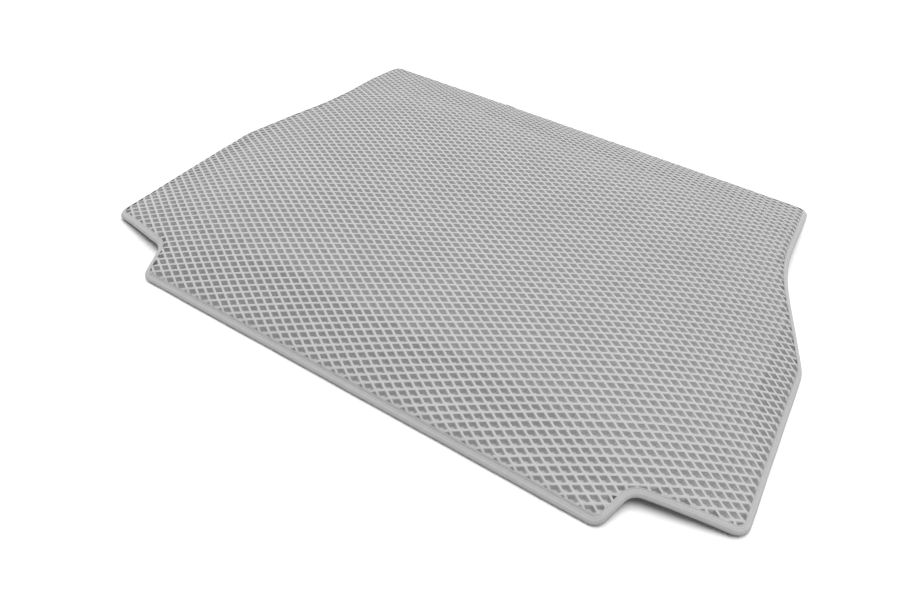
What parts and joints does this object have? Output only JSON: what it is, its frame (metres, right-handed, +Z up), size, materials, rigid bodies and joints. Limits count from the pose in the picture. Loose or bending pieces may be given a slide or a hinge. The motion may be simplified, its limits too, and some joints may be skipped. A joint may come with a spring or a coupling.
{
  "type": "car boot liner",
  "caption": "Boot floor liner for a car: a domed foam sheet full of open rhombic pockets, notched for the sill and wheel arches, with a woven tape sewn round its edge.",
  "frame": {"origin": "middle of the liner's box, on the floor it rests on", "axes": "+X along the width, +Y from the tailgate edge to the seat edge, +Z up"},
  "size_m": [0.962, 0.714, 0.0504],
  "materials": {
    "foam": "matte closed-cell foam",
    "tape": "matte ribbed woven tape",
    "thread": "twisted polyester sewing thread"
  },
  "bodies": {
    "root": {"cell_sheet": "foam", "edge_tape": "tape", "needle_thread": "thread", "bobbin_thread": "thread"}
  },
  "joints": []
}
